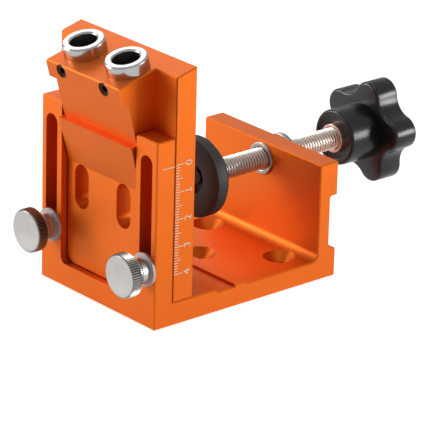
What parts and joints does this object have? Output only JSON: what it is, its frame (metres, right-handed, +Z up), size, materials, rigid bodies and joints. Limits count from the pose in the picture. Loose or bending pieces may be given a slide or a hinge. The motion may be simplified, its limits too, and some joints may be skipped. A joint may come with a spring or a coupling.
{
  "type": "pocket hole jig",
  "caption": "Orange anodised aluminium pocket hole jig with sloping steel drill bushings, a height-adjustable guide block with a millimetre scale, thumb screws and a screw clamp.",
  "frame": {"origin": "centre of the body's underside", "axes": "+X across the width towards the side with the scale, +Y along the clamp screw from the front wall to the knob, +Z up"},
  "size_m": [0.0676, 0.1446, 0.0954],
  "materials": {
    "anodised_aluminium": "orange anodised, satin",
    "bushing_steel": "ground and polished",
    "black_screw": "black oxide",
    "thumb_steel": "bright plated, knurled rim",
    "nylon": "translucent white nylon",
    "bush_steel": "bright plated",
    "spindle_steel": "bright plated, threaded",
    "pad_rubber": "matte black",
    "ring_steel": "blackened spring steel",
    "knob_plastic": "black moulded",
    "insert_metal": "turned"
  },
  "bodies": {
    "body": {"base_frame": "anodised_aluminium", "clamp_bush": "bush_steel"},
    "guide": {"guide_block": "anodised_aluminium", "drill_bushing_left": "bushing_steel", "drill_bushing_right": "bushing_steel", "bushing_set_screw_left": "black_screw", "bushing_set_screw_right": "black_screw"},
    "washer_left": {"thumb_washer_left": "nylon"},
    "washer_right": {"thumb_washer_right": "nylon"},
    "thumb_left": {"thumb_screw_left": "thumb_steel"},
    "thumb_right": {"thumb_screw_right": "thumb_steel"},
    "pad": {"clamp_pad": "pad_rubber"},
    "spindle": {"clamp_spindle": "spindle_steel", "pad_retaining_ring": "ring_steel", "star_knob": "knob_plastic", "knob_insert": "insert_metal"}
  },
  "joints": [
    {"name": "guide_lift", "type": "slide", "parent": "body", "child": "guide", "axis": [0, 0, 1], "range_m": [0, 0.038]},
    {"name": "washer_left_slide", "type": "slide", "parent": "guide", "child": "washer_left", "axis": [0, -1, 0], "range_m": [0, 0.002]},
    {"name": "washer_right_slide", "type": "slide", "parent": "guide", "child": "washer_right", "axis": [0, -1, 0], "range_m": [0, 0.002]},
    {"name": "thumb_left_turn", "type": "hinge", "parent": "washer_left", "child": "thumb_left", "pos_m": [-0.02595, -0.04175, 0.0212], "axis": [0, -1, 0], "range_deg": [0, 721]},
    {"name": "thumb_right_turn", "type": "hinge", "parent": "washer_right", "child": "thumb_right", "pos_m": [0.02595, -0.04175, 0.0212], "axis": [0, -1, 0], "range_deg": [0, 721]},
    {"name": "clamp_slide", "type": "slide", "parent": "body", "child": "pad", "axis": [0, -1, 0], "range_m": [-0.0245, 0.023]},
    {"name": "spindle_turn", "type": "hinge", "parent": "pad", "child": "spindle", "pos_m": [0, 0.0075, 0.037], "axis": [0, -1, 0], "range_deg": [-7057, 6625]}
  ],
  "couplings": [
    {"joint": "thumb_left_turn", "follows": "washer_left_slide", "rad_per_m": 6283.2},
    {"joint": "thumb_right_turn", "follows": "washer_right_slide", "rad_per_m": 6283.2},
    {"joint": "spindle_turn", "follows": "clamp_slide", "rad_per_m": 5026.5}
  ]
}
